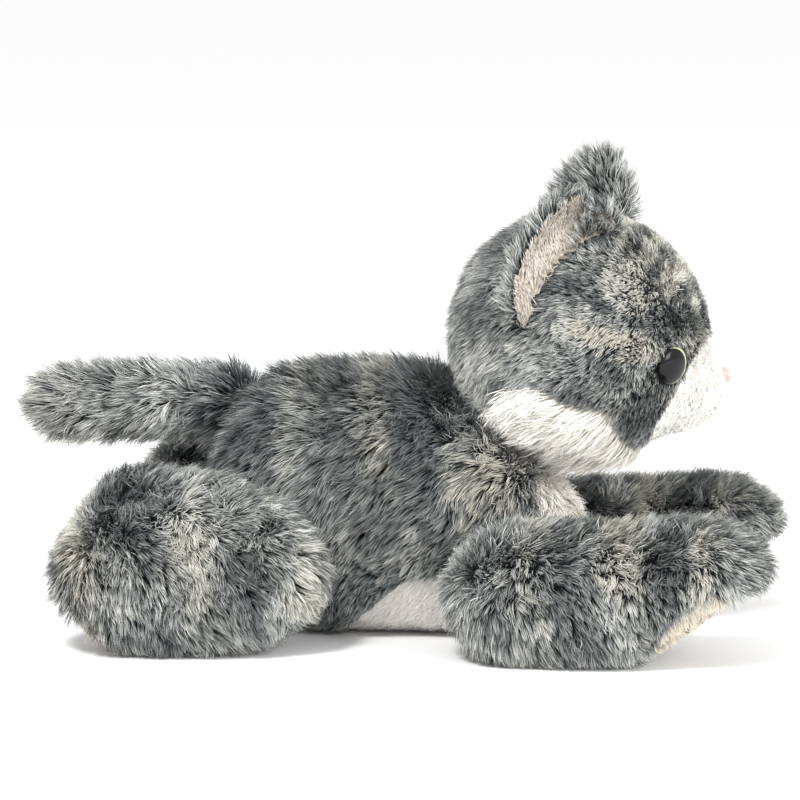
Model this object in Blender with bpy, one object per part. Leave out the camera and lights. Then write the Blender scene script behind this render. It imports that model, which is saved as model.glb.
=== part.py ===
"""A plush cat that lies on its belly: sewn panels round stuffed forms, with a turning head, folding ears,
swinging legs and a tail that sways and lifts. +X is the way the cat faces, +Y is its left, +Z is up, and the
origin is on the surface it lies on, below the middle of its length."""

import math

import bmesh
import bpy
from mathutils import Vector

MM = 0.001

# Cloth and clearances
WALL = 1.2 * MM  # backing cloth with its pressed pile
GAP = 0.4 * MM  # between panels that are sewn edge to edge
FILL_INSET = WALL + 1.0 * MM  # from a cover's outside to the filling
SEAM_SHIFT = GAP / 2
SLOPE_EASE = 1.7 * MM  # more room for a filling whose cover slopes
ROW_SEAM = 0.004  # half a seam gap across a form, as a share of the form's rows
BELOW = math.pi  # the angle round a form that points straight down

# Torso
TORSO_BACK = -47.0 * MM
TORSO_FRONT = 50.0 * MM
TORSO_ROWS = 18
TORSO_SIDE = 24.6 * MM  # flat side that a leg is sewn against
TORSO_REACH = (15.0 * MM, 20.0 * MM)  # length of the rounded back and front ends
TORSO_HALF_GIRTH = 28.0 * MM
BIB_ROW = 14  # the chest bib starts at this row of the torso
BELLY_ROW = 5  # the belly gusset starts in a point at this row
BELLY_OPENING_ROWS = 5
BELLY_SPREAD = math.radians(68)
POUCH_BACK = -28.0 * MM
POUCH_FRONT = 30.0 * MM
POUCH_REACH = (12.0 * MM, 12.0 * MM)

# Head
HEAD_CENTRE = Vector((49.0, 0.0, 80.0)) * MM
HEAD_SEMI = Vector((33.5, 36.0, 33.0)) * MM
HEAD_TILT = math.radians(28)  # the muzzle points this far below the horizon
HEAD_ROWS = 24
CROWN_ROW = 6  # first row of the crown gusset
CHEEK_ROW = 7  # first row of the cheek panels
PANEL_ROW = 11  # crown gusset and cheeks have their full width from this row
JAW_ROW = 16  # and the cheek's upper edge drops from this one
MUZZLE_ROW = 20
CROWN_SPREAD = math.radians(17)
JAW_ANGLE = math.radians(70)  # the cheek's upper edge, up from straight below
JAW_FALL = math.radians(45)  # how far that edge drops towards the chin
SNOUT_HEIGHT = 9.0 * MM
SNOUT_SPREAD = math.radians(18)
HEAD_SOCKET = 37.2 * MM  # radius of the hollow that the neck seam leaves in the torso
NECK_FILL_INNER = 34.9 * MM
NECK_FILL_OUTER = 36.4 * MM
NECK_DIRECTION = Vector((-0.62, 0.0, -0.785))
NECK_SPREAD = math.radians(23)
NECK_RIM_POWER = 3  # the cap of filling keeps its thickness out to near its rim

# Eyes: stock 10 mm safety eyes
EYE_ROW = 0.765  # place on the head, from the nape (0) to the nose (1)
EYE_ANGLE = math.radians(70)
EYE_RADIUS = 5.0 * MM
EYE_HEIGHT = 2.2 * MM
EYE_LIFT = 0.5 * MM
EYE_RIM = 0.4 * MM  # thickness of the button below its dome
DOME_STEPS = 5
SHANK_RADIUS = 1.5 * MM
SHANK_LENGTH = 7.5 * MM
WASHER_RADIUS = 4.5 * MM
WASHER_THICKNESS = 1.0 * MM
WASHER_DEPTH = 2.6 * MM
BORE_CLEARANCE = 0.4 * MM

# Nose patch, half sizes
NOSE_ROW = 0.928
NOSE_SEMI = Vector((2.8, 4.0, 0.8)) * MM
NOSE_NARROWING = 0.25  # the patch is narrower at its bottom by this share

# Ears: corners of the sewn base and the tip, as on the left side, from the head's centre. The left ear stands
# up, and the right ear has slumped.
EAR_BACK_CORNER = Vector((-10.0, 33.5, 4.0)) * MM
EAR_FRONT_CORNER = Vector((10.0, 15.0, 28.5)) * MM
EAR_TIPS = {"left": Vector((4.0, 23.0, 49.0)) * MM, "right": Vector((1.0, 27.0, 39.0)) * MM}
EAR_BACK_BULGE = Vector((-14.0, 8.0, -2.0)) * MM  # what the middle of each edge is drawn out by
EAR_FRONT_BULGE = Vector((8.0, 0.0, 0.0)) * MM
EAR_CUP = 5.0 * MM
EAR_BASE_BOW = 2.0 * MM
EAR_FACING = Vector((0.74, 0.66, 0.0)).normalized()
EAR_CLEARANCE = 0.7 * MM
EAR_BASE_LIFT = 2.4 * MM
EAR_INNER_WALL = 1.2 * MM
EAR_OUTER_WALL = 1.6 * MM
EAR_ROWS = 7
EAR_TIP_ROW = 0.93  # the tip is cut off blunt here
EAR_COLUMNS = 8

# Legs
LEG_Y = 41.0 * MM
LEG_INNER_FACE = 25.5 * MM
LEG_ROWS = 12
LEG_HALF_GIRTH = 15.0 * MM
FORELEG_REACH = (17.0 * MM, 15.0 * MM)  # length of the rounded back and front ends
HIND_LEG_REACH = (20.0 * MM, 18.0 * MM)
FORE_SOLE_ROWS = (6, 8, 9, 11)  # a sole opens between the first two rows and closes between the last two
FORE_SOLE_SPREAD = math.radians(74)
HIND_SOLE_ROWS = (1, 2, 3, 5)
HIND_SOLE_SPREAD = math.radians(55)
FORELEG_BACK = 19.0 * MM
FORELEG_FRONT = 100.5 * MM
SHOULDER = Vector((37.0, 0.0, 19.0)) * MM
HIND_LEG_BACK = -84.5 * MM
HIND_LEG_FRONT = -15.0 * MM
HIP = Vector((-34.0, 0.0, 21.0)) * MM

# Tail
TAIL_ROOT = Vector((-46.0, 0.0, 61.0)) * MM
TAIL_LENGTH = 54.5 * MM
TAIL_RADIUS = 7.2 * MM
TAIL_DROOP = 1.5 * MM
TAIL_SOCKET = TAIL_RADIUS + 2.2 * MM
TAIL_ROWS = 10
TAIL_TIP = 10.0 * MM  # length of the rounded tip
TAIL_FILL_START = -4.5 * MM  # front of the tail's filling, from the root
TAIL_FILL_ENDS = (5.0 * MM, 9.0 * MM)
ROOT_FILL_RADIUS = 5.3 * MM
ROOT_FILL_GAP = 0.5 * MM

SECTION_POWER = 2.2  # of the legs' and torso's sections: 2 is an ellipse, more is squarer

COLOURS = {
    "tabby": ((0.115, 0.120, 0.118), 0.9),
    "white": ((0.72, 0.68, 0.61), 0.9),
    "taupe": ((0.34, 0.31, 0.27), 0.9),
    "sole": ((0.50, 0.46, 0.39), 0.9),
    "nose": ((0.85, 0.55, 0.50), 0.85),
    "eye": ((0.45, 0.48, 0.28), 0.08),
    "washer": ((0.80, 0.80, 0.78), 0.5),
    "fill": ((0.85, 0.85, 0.84), 0.95),
    "pouch": ((0.60, 0.58, 0.54), 0.9),
}


# ---------------------------------------------------------------- small helpers


def clear_scene():
    for item in list(bpy.data.objects):
        bpy.data.objects.remove(item, do_unlink=True)


def make_material(name):
    colour, roughness = COLOURS[name]
    material = bpy.data.materials.new(name)
    material.use_nodes = True
    shader = material.node_tree.nodes["Principled BSDF"]
    shader.inputs["Base Color"].default_value = (*colour, 1.0)
    shader.inputs["Roughness"].default_value = roughness
    shader.inputs["Metallic"].default_value = 0.0
    material.diffuse_color = (*colour, 1.0)
    return material


def smoothstep(low, high, value):
    share = min(max((value - low) / (high - low), 0.0), 1.0)
    return share * share * (3.0 - 2.0 * share)


def profile(stations, x):
    """The value at x of a smooth curve through (x, value) stations, level at each of them."""
    if x <= stations[0][0]:
        return stations[0][1]
    for (x0, v0), (x1, v1) in zip(stations, stations[1:]):
        if x <= x1:
            return v0 + (v1 - v0) * smoothstep(x0, x1, x)
    return stations[-1][1]


def power(value, exponent):
    return math.copysign(abs(value) ** exponent, value)


def rows_between(first, last, count):
    """Row places from row first to row last of a form that has count rows, as shares of its length."""
    return [k / count for k in range(first, last + 1)]


def trimmed(rows, start=0.0, end=0.0):
    """The same rows with the first and last pulled in, to leave a seam gap."""
    return [rows[0] + start, *rows[1:-1], rows[-1] - end]


def link(name, mesh, material, parent):
    item = bpy.data.objects.new(name, mesh)
    mesh.materials.append(material)
    mesh.shade_smooth()
    mesh.set_sharp_from_angle(angle=math.radians(40))
    bpy.context.scene.collection.objects.link(item)
    if parent is not None:
        mesh.transform(parent.matrix_world.inverted())
        item.parent = parent
    return item


def joint_empty(name, place, parent=None):
    """An empty on a joint's axis, which the moving pieces are parented to."""
    empty = bpy.data.objects.new(name, None)
    empty.empty_display_size = 5.0 * MM
    bpy.context.scene.collection.objects.link(empty)
    empty.parent = parent
    empty.location = place - parent.matrix_world.translation if parent else place
    bpy.context.view_layer.update()
    return empty


def mesh_from(name, bm):
    bmesh.ops.remove_doubles(bm, verts=bm.verts, dist=2e-6)
    loose = [edge for edge in bm.edges if not edge.link_faces]
    bmesh.ops.delete(bm, geom=loose, context="EDGES")
    bmesh.ops.recalc_face_normals(bm, faces=bm.faces)
    if bm.calc_volume(signed=True) < 0.0:
        bmesh.ops.reverse_faces(bm, faces=bm.faces)
    mesh = bpy.data.meshes.new(name)
    bm.to_mesh(mesh)
    bm.free()
    return mesh


def is_point(ring):
    return all((vert.co - ring[0].co).length < 1e-6 for vert in ring)


def join_rings(bm, ring_a, ring_b):
    for k in range(len(ring_a) - 1):
        bm.faces.new((ring_a[k], ring_a[k + 1], ring_b[k + 1], ring_b[k]))


def all_round(t):
    """The edges of a panel that goes all the way round a form."""
    return 0.0, 2 * math.pi


def panel(name, form, rows, edges, columns, material, parent=None, shift=0.0, closed=False):
    """A sewn panel: the form's outside and inside between two edges, joined round the rim.

    edges(t) gives the two angles that bound the panel at row t. A closed panel goes all the way round.
    """
    bm = bmesh.new()
    layers = []
    for inset in (0.0, WALL):
        layer = []
        for t in rows:
            low, high = edges(t)
            angles = [low + (high - low) * k / columns for k in range(columns + 1)]
            layer.append([bm.verts.new(form(t, angle, inset)) for angle in angles])
        layers.append(layer)
    for layer in layers:
        for ring_a, ring_b in zip(layer, layer[1:]):
            join_rings(bm, ring_a, ring_b)
    for end in (0, -1):
        if not is_point(layers[0][end]):
            join_rings(bm, layers[0][end], layers[1][end])
    if not closed:
        for side in (0, -1):
            outer = [ring[side] for ring in layers[0]]
            inner = [ring[side] for ring in layers[1]]
            join_rings(bm, outer, inner)
    bmesh.ops.translate(bm, verts=bm.verts, vec=(0.0, shift, 0.0))
    return link(name, mesh_from(name, bm), material, parent)


def filling(name, form, rows, columns, material, parent=None, inset=FILL_INSET):
    """A closed solid inside a form."""
    bm = bmesh.new()
    rings = []
    for k in range(rows + 1):
        angles = [2 * math.pi * j / columns for j in range(columns + 1)]
        rings.append([bm.verts.new(form(k / rows, angle, inset)) for angle in angles])
    for ring_a, ring_b in zip(rings, rings[1:]):
        join_rings(bm, ring_a, ring_b)
    return link(name, mesh_from(name, bm), material, parent)


def turned(name, outline, segments, place, axis, material, parent=None):
    """A solid turned from an outline of (radius, height) points about an axis through place."""
    turn = Vector((0, 0, 1)).rotation_difference(axis)
    bm = bmesh.new()
    rings = []
    for radius, height in outline:
        ring = []
        for k in range(segments + 1):
            angle = 2 * math.pi * k / segments
            spot = Vector((radius * math.cos(angle), radius * math.sin(angle), height))
            ring.append(bm.verts.new(place + turn @ spot))
        rings.append(ring)
    closed = outline[0][0] > 0.0
    if closed:
        rings.append(rings[0])
    for ring_a, ring_b in zip(rings, rings[1:]):
        join_rings(bm, ring_a, ring_b)
    return link(name, mesh_from(name, bm), material, parent)


def cut(item, cutter):
    """Cuts a hidden cutter out of a piece."""
    cutter.hide_render = True
    cutter.display_type = "WIRE"
    boolean = item.modifiers.new("cut", "BOOLEAN")
    boolean.operation = "DIFFERENCE"
    boolean.solver = "EXACT"
    boolean.object = cutter


# ---------------------------------------------------------------- forms


def dent(point, centre, radius):
    """Pushes a point that is inside a sphere out to its surface."""
    away = point - centre
    if 0.0 < away.length < radius:
        return centre + away * (radius / away.length)
    return point


class Limb:
    """A stuffed form along X, with rounded sections between a top and a bottom line."""

    def __init__(self, ends, lines, half_width, reach, centre_y=0.0, press=None):
        self.back, self.front = ends
        self.top, self.bottom = lines
        self.half_width = half_width
        self.reach = reach
        self.centre_y = centre_y
        self.press = press

    def roundness(self, x, inset):
        """How much of its full section the form has at x, falling to nothing at both ends."""
        from_back = (x - self.back - inset) / (self.reach[0] - inset)
        from_front = (self.front - inset - x) / (self.reach[1] - inset)
        near = min(max(min(from_back, from_front), 0.0), 1.0)
        return math.sqrt(1.0 - (1.0 - near) ** 2)

    def __call__(self, t, angle, inset):
        span = self.front - self.back - 2 * inset
        x = self.back + inset + span * (1.0 - math.cos(math.pi * t)) / 2
        top = profile(self.top, x)
        bottom = profile(self.bottom, x)
        full = self.roundness(x, inset)
        height = ((top - bottom) / 2 - inset) * full
        width = (profile(self.half_width, x) - inset) * full
        y = self.centre_y + width * power(math.sin(angle), 2 / SECTION_POWER)
        z = (top + bottom) / 2 + height * power(math.cos(angle), 2 / SECTION_POWER)
        point = Vector((x, y, z))
        return self.press(point, inset) if self.press else point


def scaled(stations):
    return [(x * MM, value * MM) for x, value in stations]


def press_torso(point, inset):
    """Flat where the belly lies and where the legs are sewn on, with hollows for the head and the tail."""
    point = dent(point, HEAD_CENTRE, HEAD_SOCKET + inset)
    point = dent(point, TAIL_ROOT, TAIL_SOCKET + inset)
    side = TORSO_SIDE - inset
    point.y = min(max(point.y, -side), side)
    point.z = max(point.z, inset)
    return point


def torso_form():
    top = scaled([(-47, 52), (-38, 66), (-22, 69), (8, 69), (28, 60), (50, 40)])
    bottom = scaled([(-47, 34), (-34, 5), (-20, -2), (26, -2), (40, 4), (50, 16)])
    half_width = scaled([(-47, 25), (-25, 28), (25, 28), (50, 22)])
    ends = (TORSO_BACK, TORSO_FRONT)
    return Limb(ends, (top, bottom), half_width, TORSO_REACH, press=press_torso)


def torso_fill_form():
    top = scaled([(-47, 52), (-38, 66), (-22, 69), (8, 69), (28, 60), (50, 40)])
    bottom = scaled([(-47, 36), (-34, 17), (-20, 14), (26, 14), (40, 14), (50, 20)])
    half_width = scaled([(-47, 22), (-25, 26), (25, 26), (50, 20)])
    ends = (TORSO_BACK, TORSO_FRONT)
    return Limb(ends, (top, bottom), half_width, TORSO_REACH, press=press_torso)


def pouch_form():
    top = scaled([(-30, 13), (30, 13)])
    bottom = scaled([(-30, 3.6), (30, 3.6)])
    half_width = scaled([(-30, 13), (0, 15), (30, 13)])
    return Limb((POUCH_BACK, POUCH_FRONT), (top, bottom), half_width, POUCH_REACH)


def leg_press(side):
    """A leg is flat where it lies and where it is sewn to the torso."""

    def press(point, inset):
        point.z = max(point.z, inset)
        inner = LEG_INNER_FACE + inset
        point.y = side * max(side * point.y, inner)
        return point

    return press


def foreleg_form(side):
    top = scaled([(19, 29), (36, 33.5), (62, 33.5), (86, 35), (100.5, 31)])
    bottom = scaled([(19, 6), (32, -1.2), (63, -1.2), (100.5, 20)])
    half_width = scaled([(19, 16), (45, 17.5), (85, 18), (100.5, 15)])
    ends = (FORELEG_BACK, FORELEG_FRONT)
    return Limb(ends, (top, bottom), half_width, FORELEG_REACH, side * LEG_Y, leg_press(side))


def hind_leg_form(side):
    top = scaled([(-84.5, 36), (-66, 46), (-48, 45), (-30, 40), (-15, 30)])
    bottom = scaled([(-84.5, 4), (-74, -1.2), (-46, -1.2), (-15, 9)])
    half_width = scaled([(-84.5, 17), (-62, 19), (-42, 16), (-15, 13)])
    ends = (HIND_LEG_BACK, HIND_LEG_FRONT)
    return Limb(ends, (top, bottom), half_width, HIND_LEG_REACH, side * LEG_Y, leg_press(side))


def tail_form(t, angle, inset):
    """A round tail whose front end is a half ball about its root."""
    front = TAIL_RADIUS - inset
    back = -TAIL_LENGTH + inset
    x = front + (back - front) * (1.0 - math.cos(math.pi * t)) / 2
    radius = TAIL_RADIUS - inset
    if x > 0.0:
        radius = math.sqrt(max(radius**2 - x**2, 0.0))
    tip = min(max((x - back) / TAIL_TIP, 0.0), 1.0)
    radius *= math.sqrt(1.0 - (1.0 - tip) ** 2)
    fall = TAIL_DROOP * min(x / TAIL_LENGTH, 0.0) ** 2
    return TAIL_ROOT + Vector((x, radius * math.sin(angle), radius * math.cos(angle) - fall))


def tail_fill_form(t, angle, inset):
    """The tail's filling, hollowed at its front for the ball of filling at the root."""
    start = TAIL_FILL_START
    back = -TAIL_LENGTH + inset
    x = start + (back - start) * (1.0 - math.cos(math.pi * t)) / 2
    near = min((start - x) / TAIL_FILL_ENDS[0], (x - back) / TAIL_FILL_ENDS[1], 1.0)
    radius = (TAIL_RADIUS - inset) * math.sqrt(1.0 - (1.0 - max(near, 0.0)) ** 2)
    fall = TAIL_DROOP * (x / TAIL_LENGTH) ** 2
    point = TAIL_ROOT + Vector((x, radius * math.sin(angle), radius * math.cos(angle) - fall))
    return dent(point, TAIL_ROOT, ROOT_FILL_RADIUS + ROOT_FILL_GAP)


def head_frame():
    """The way the muzzle points, and the way that is up from it."""
    muzzle = Vector((math.cos(HEAD_TILT), 0.0, -math.sin(HEAD_TILT)))
    crown = Vector((math.sin(HEAD_TILT), 0.0, math.cos(HEAD_TILT)))
    return muzzle, crown


def head_form(t, angle, inset):
    """The head from the nape (t = 0) to the nose (t = 1), with the snout as a low swelling round the nose."""
    muzzle, crown = head_frame()
    polar = math.pi * t
    around = crown * math.cos(angle) + Vector((0.0, math.sin(angle), 0.0))
    direction = around * math.sin(polar) - muzzle * math.cos(polar)
    semi = HEAD_SEMI - Vector((inset, inset, inset))
    from_nose = (math.pi - polar) / SNOUT_SPREAD
    snout = SNOUT_HEIGHT * math.exp(-(from_nose**2))
    point = Vector((direction.x * semi.x, direction.y * semi.y, direction.z * semi.z))
    return HEAD_CENTRE + point + direction * snout


def neck_form(t, angle, inset):
    """A thin cap of filling between the head and the hollow in the torso."""
    axis = NECK_DIRECTION.normalized()
    across = axis.cross(Vector((0.0, 1.0, 0.0)))
    outward = 2.0 * min(t, 1.0 - t)
    spread = NECK_SPREAD * outward
    middle = (NECK_FILL_INNER + NECK_FILL_OUTER) / 2
    half = (NECK_FILL_OUTER - NECK_FILL_INNER) / 2
    swell = half * math.cos(math.pi / 2 * outward**NECK_RIM_POWER)
    radius = middle + (swell if t <= 0.5 else -swell) - inset
    around = across * math.cos(angle) + Vector((0.0, math.sin(angle), 0.0))
    return HEAD_CENTRE + (axis * math.cos(spread) + around * math.sin(spread)) * radius


# ---------------------------------------------------------------- torso


def belly_spread(t):
    """Half the belly gusset's width as an angle: a point at the back, broad at the bib."""
    start = BELLY_ROW / TORSO_ROWS
    return BELLY_SPREAD * smoothstep(start, start + BELLY_OPENING_ROWS / TORSO_ROWS, t)


def build_torso(materials):
    form = torso_form()
    tabby = materials["tabby"]
    white = materials["white"]
    seam = GAP / TORSO_HALF_GIRTH
    side_rows = trimmed(rows_between(0, BIB_ROW, TORSO_ROWS), end=ROW_SEAM)
    for word, side in (("left", 1), ("right", -1)):

        def edges(t, side=side):
            return 0.0, side * (BELOW - belly_spread(t))

        panel(f"torso_cover_{word}", form, side_rows, edges, 9, tabby, shift=side * SEAM_SHIFT)

    def belly_edges(t):
        spread = max(belly_spread(t) - seam, 0.0)
        return BELOW - spread, BELOW + spread

    belly_rows = trimmed(rows_between(BELLY_ROW, BIB_ROW, TORSO_ROWS), end=ROW_SEAM)
    panel("belly_panel", form, belly_rows, belly_edges, 8, white)
    bib_rows = trimmed(rows_between(BIB_ROW, TORSO_ROWS, TORSO_ROWS), start=ROW_SEAM)
    panel("chest_bib", form, bib_rows, all_round, 18, white, closed=True)
    fill_inset = FILL_INSET + SLOPE_EASE
    filling("torso_stuffing", torso_fill_form(), TORSO_ROWS, 18, materials["fill"], inset=fill_inset)
    filling("pellet_pouch", pouch_form(), 8, 10, materials["pouch"], inset=0.0)


# ---------------------------------------------------------------- head


def crown_spread(t):
    return CROWN_SPREAD * smoothstep(CROWN_ROW / HEAD_ROWS, PANEL_ROW / HEAD_ROWS, t)


def cheek_edge(t):
    """The angle that the white cheek starts at: the jaw line, dropping at the nape and at the chin."""
    fall = JAW_FALL * smoothstep(JAW_ROW / HEAD_ROWS, MUZZLE_ROW / HEAD_ROWS, t)
    return BELOW - (JAW_ANGLE - fall) * smoothstep(CHEEK_ROW / HEAD_ROWS, PANEL_ROW / HEAD_ROWS, t)


def head_seam(t):
    """Half a seam gap as an angle round the head at row t."""
    return GAP / (HEAD_SEMI.x * max(math.sin(math.pi * t), 0.3))


def surface_frame(t, angle):
    """A point on the head's surface and the direction straight out of it."""
    step = 0.004
    point = head_form(t, angle, 0.0)
    along = head_form(t + step, angle, 0.0) - head_form(t - step, angle, 0.0)
    round_it = head_form(t, angle + step, 0.0) - head_form(t, angle - step, 0.0)
    normal = along.cross(round_it).normalized()
    if normal.dot(point - HEAD_CENTRE) < 0.0:
        normal.negate()
    return point, normal


def eye_outline():
    """A domed button with its shank, from the tip of the shank to the top of the dome."""
    outline = [(0.0, -SHANK_LENGTH), (SHANK_RADIUS, -SHANK_LENGTH), (SHANK_RADIUS, EYE_LIFT)]
    outline.append((EYE_RADIUS, EYE_LIFT))
    for k in range(1, DOME_STEPS):
        angle = math.pi / 2 * k / DOME_STEPS
        height = EYE_LIFT + EYE_RIM + EYE_HEIGHT * math.sin(angle)
        outline.append((EYE_RADIUS * math.cos(angle), height))
    outline.append((0.0, EYE_LIFT + EYE_RIM + EYE_HEIGHT))
    return outline


def build_eye(word, side, head_parts, materials, parent):
    place, normal = surface_frame(EYE_ROW, side * EYE_ANGLE)
    turned(f"eye_{word}", eye_outline(), 20, place, normal, materials["eye"], parent)
    low = -WASHER_DEPTH - WASHER_THICKNESS
    high = -WASHER_DEPTH
    bore = SHANK_RADIUS + BORE_CLEARANCE
    ring = [(bore, low), (WASHER_RADIUS, low), (WASHER_RADIUS, high), (bore, high)]
    turned(f"eye_washer_{word}", ring, 16, place, normal, materials["washer"], parent)
    outside = 3.0 * MM  # the cutters start this far above the head's surface
    deep = -SHANK_LENGTH - 1.0 * MM
    cover_cut = [(0.0, deep), (bore, deep), (bore, outside), (0.0, outside)]
    pocket = WASHER_RADIUS + BORE_CLEARANCE
    floor = low - BORE_CLEARANCE
    fill_cut = [(0.0, deep), (bore, deep), (bore, floor), (pocket, floor), (pocket, outside)]
    fill_cut.append((0.0, outside))
    cover_cutter = turned(f"cutter_eye_{word}", cover_cut, 16, place, normal, materials["eye"])
    fill_cutter = turned(f"cutter_washer_{word}", fill_cut, 16, place, normal, materials["eye"])
    cut(head_parts[f"cover_{word}"], cover_cutter)
    cut(head_parts["fill"], fill_cutter)


def build_head(materials, parent):
    parts = {}
    tabby = materials["tabby"]
    white = materials["white"]
    side_rows = trimmed(rows_between(0, MUZZLE_ROW, HEAD_ROWS), end=ROW_SEAM)
    cheek_rows = trimmed(rows_between(CHEEK_ROW, MUZZLE_ROW, HEAD_ROWS), end=ROW_SEAM)
    for word, side in (("left", 1), ("right", -1)):

        def side_edges(t, side=side):
            open_crown = head_seam(t) if crown_spread(t) > 0.0 else 0.0
            return side * (crown_spread(t) + open_crown), side * cheek_edge(t)

        def cheek_edges(t, side=side):
            low = min(cheek_edge(t) + 2 * head_seam(t), BELOW)
            return side * low, side * BELOW

        shift = side * SEAM_SHIFT
        cover = panel(f"head_cover_{word}", head_form, side_rows, side_edges, 10, tabby, parent, shift)
        parts[f"cover_{word}"] = cover
        panel(f"cheek_panel_{word}", head_form, cheek_rows, cheek_edges, 4, white, parent, shift)

    def crown_edges(t):
        spread = max(crown_spread(t) - head_seam(t) / 2, 0.0)
        return -spread, spread

    crown_rows = trimmed(rows_between(CROWN_ROW, MUZZLE_ROW, HEAD_ROWS), end=ROW_SEAM)
    panel("crown_gusset", head_form, crown_rows, crown_edges, 4, tabby, parent)
    fine_rows = 2 * HEAD_ROWS
    muzzle_rows = trimmed(rows_between(2 * MUZZLE_ROW, fine_rows, fine_rows), start=ROW_SEAM)
    panel("muzzle_panel", head_form, muzzle_rows, all_round, 18, white, parent, closed=True)
    parts["fill"] = filling("head_stuffing", head_form, 20, 18, materials["fill"], parent)
    for word, side in (("left", 1), ("right", -1)):
        build_eye(word, side, parts, materials, parent)
    build_nose(materials, parent)


def build_nose(materials, parent):
    """A small padded patch at the front of the muzzle, wider than it is high."""
    place, normal = surface_frame(NOSE_ROW, 0.0)
    across = Vector((0.0, 1.0, 0.0))
    upward = normal.cross(across)
    centre = place + normal * (NOSE_SEMI.z + GAP)

    def nose_form(t, angle, inset):
        polar = math.pi * t
        ring = math.sin(polar)
        lift = normal * math.cos(polar) * NOSE_SEMI.z
        narrow = 1.0 - NOSE_NARROWING * math.cos(angle)
        side = across * math.sin(angle) * ring * NOSE_SEMI.y * narrow
        return centre + lift + side - upward * math.cos(angle) * ring * NOSE_SEMI.x

    filling("nose_patch", nose_form, 6, 14, materials["nose"], parent)


# ---------------------------------------------------------------- ears


def curve(start, bulge, end, t):
    """A curve from start to end that is drawn towards the bulge."""
    return start * (1.0 - t) ** 2 + bulge * (2.0 * t * (1.0 - t)) + end * t**2


def mirrored(vector, side):
    return Vector((vector.x, side * vector.y, vector.z))


def ear_form(word, side):
    """The cupped ear: t goes from its sewn base to its tip, share from its back edge to its front edge."""
    back = mirrored(EAR_BACK_CORNER, side)
    front = mirrored(EAR_FRONT_CORNER, side)
    tip = mirrored(EAR_TIPS[word], side)
    facing = mirrored(EAR_FACING, side)
    back_bulge = back.lerp(tip, 0.5) + mirrored(EAR_BACK_BULGE, side)
    front_bulge = front.lerp(tip, 0.5) + mirrored(EAR_FRONT_BULGE, side)

    def base_point(share, depth):
        """A point of the sewn base, bowed back a little and held just clear of the head."""
        swell = math.sin(math.pi * share)
        point = back.lerp(front, share) - facing * (EAR_BASE_BOW * swell + depth)
        on_head = Vector((point.x / HEAD_SEMI.x, point.y / HEAD_SEMI.y, point.z / HEAD_SEMI.z))
        lift = EAR_CLEARANCE + EAR_BASE_LIFT * swell
        return point * ((1.0 + lift / HEAD_SEMI.x) / on_head.length)

    def form(t, share, depth):
        back_edge = curve(back, back_bulge, tip, t)
        front_edge = curve(front, front_bulge, tip, t)
        sheet = back_edge.lerp(front_edge, share)
        from_base = (base_point(share, depth) - back.lerp(front, share)) * (1.0 - t)
        cup = EAR_CUP * math.sin(math.pi * share) * math.sin(math.pi * t)
        return HEAD_CENTRE + sheet + from_base - facing * (cup + depth * t)

    return form


def ear_panel(name, form, depths, material, parent):
    """One layer of an ear, between two depths behind its front face."""
    bm = bmesh.new()
    shares = [j / EAR_COLUMNS for j in range(EAR_COLUMNS + 1)]
    layers = []
    for depth in depths:
        layer = []
        for i in range(EAR_ROWS + 1):
            t = EAR_TIP_ROW * i / EAR_ROWS
            layer.append([bm.verts.new(form(t, share, depth)) for share in shares])
        layers.append(layer)
    for side in (0, -1):
        join_rings(bm, layers[0][side], layers[1][side])
        join_rings(bm, [ring[side] for ring in layers[0]], [ring[side] for ring in layers[1]])
    for layer in layers:
        for ring_a, ring_b in zip(layer, layer[1:]):
            join_rings(bm, ring_a, ring_b)
    return link(name, mesh_from(name, bm), material, parent)


def build_ears(materials, head_parent):
    for word, side in (("left", 1), ("right", -1)):
        base = (mirrored(EAR_BACK_CORNER, side) + mirrored(EAR_FRONT_CORNER, side)) / 2
        hinge = joint_empty(f"ear_{word}_fold", HEAD_CENTRE + base, head_parent)
        form = ear_form(word, side)
        inner = (0.0, EAR_INNER_WALL)
        outer = (EAR_INNER_WALL + GAP, EAR_INNER_WALL + GAP + EAR_OUTER_WALL)
        ear_panel(f"ear_inner_{word}", form, inner, materials["taupe"], hinge)
        ear_panel(f"ear_outer_{word}", form, outer, materials["tabby"], hinge)


# ---------------------------------------------------------------- legs and tail


def lens(rows, spread):
    """Half the width of a lens-shaped sole as an angle, at any row of a leg."""
    opens, open_by, closes, closed_by = (row / LEG_ROWS for row in rows)

    def half_width(t):
        return spread * smoothstep(opens, open_by, t) * (1.0 - smoothstep(closes, closed_by, t))

    return half_width


def build_leg(kind, word, side, form, sole_rows, sole_spread, materials, parent):
    """Outer and inner panel, sole and filling of one leg, seamed along the sole's edges and along the top."""
    seam = GAP / LEG_HALF_GIRTH
    rows = rows_between(0, LEG_ROWS, LEG_ROWS)
    sole = lens(sole_rows, sole_spread)

    def outer_edges(t):
        return 0.0, side * (BELOW - sole(t))

    def inner_edges(t):
        return side * (BELOW + sole(t)), side * 2 * math.pi

    def sole_edges(t):
        spread = max(sole(t) - seam, 0.0)
        return side * (BELOW - spread), side * (BELOW + spread)

    tabby = materials["tabby"]
    shift = side * SEAM_SHIFT
    panel(f"{kind}_outer_panel_{word}", form, rows, outer_edges, 8, tabby, parent, shift)
    panel(f"{kind}_inner_panel_{word}", form, rows, inner_edges, 8, tabby, parent, -shift)
    places = rows_between(sole_rows[0], sole_rows[-1], LEG_ROWS)
    panel(f"{kind}_sole_{word}", form, places, sole_edges, 6, materials["sole"], parent)
    fill_inset = FILL_INSET + SLOPE_EASE
    filling(f"{kind}_stuffing_{word}", form, LEG_ROWS, 12, materials["fill"], parent, fill_inset)


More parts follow.
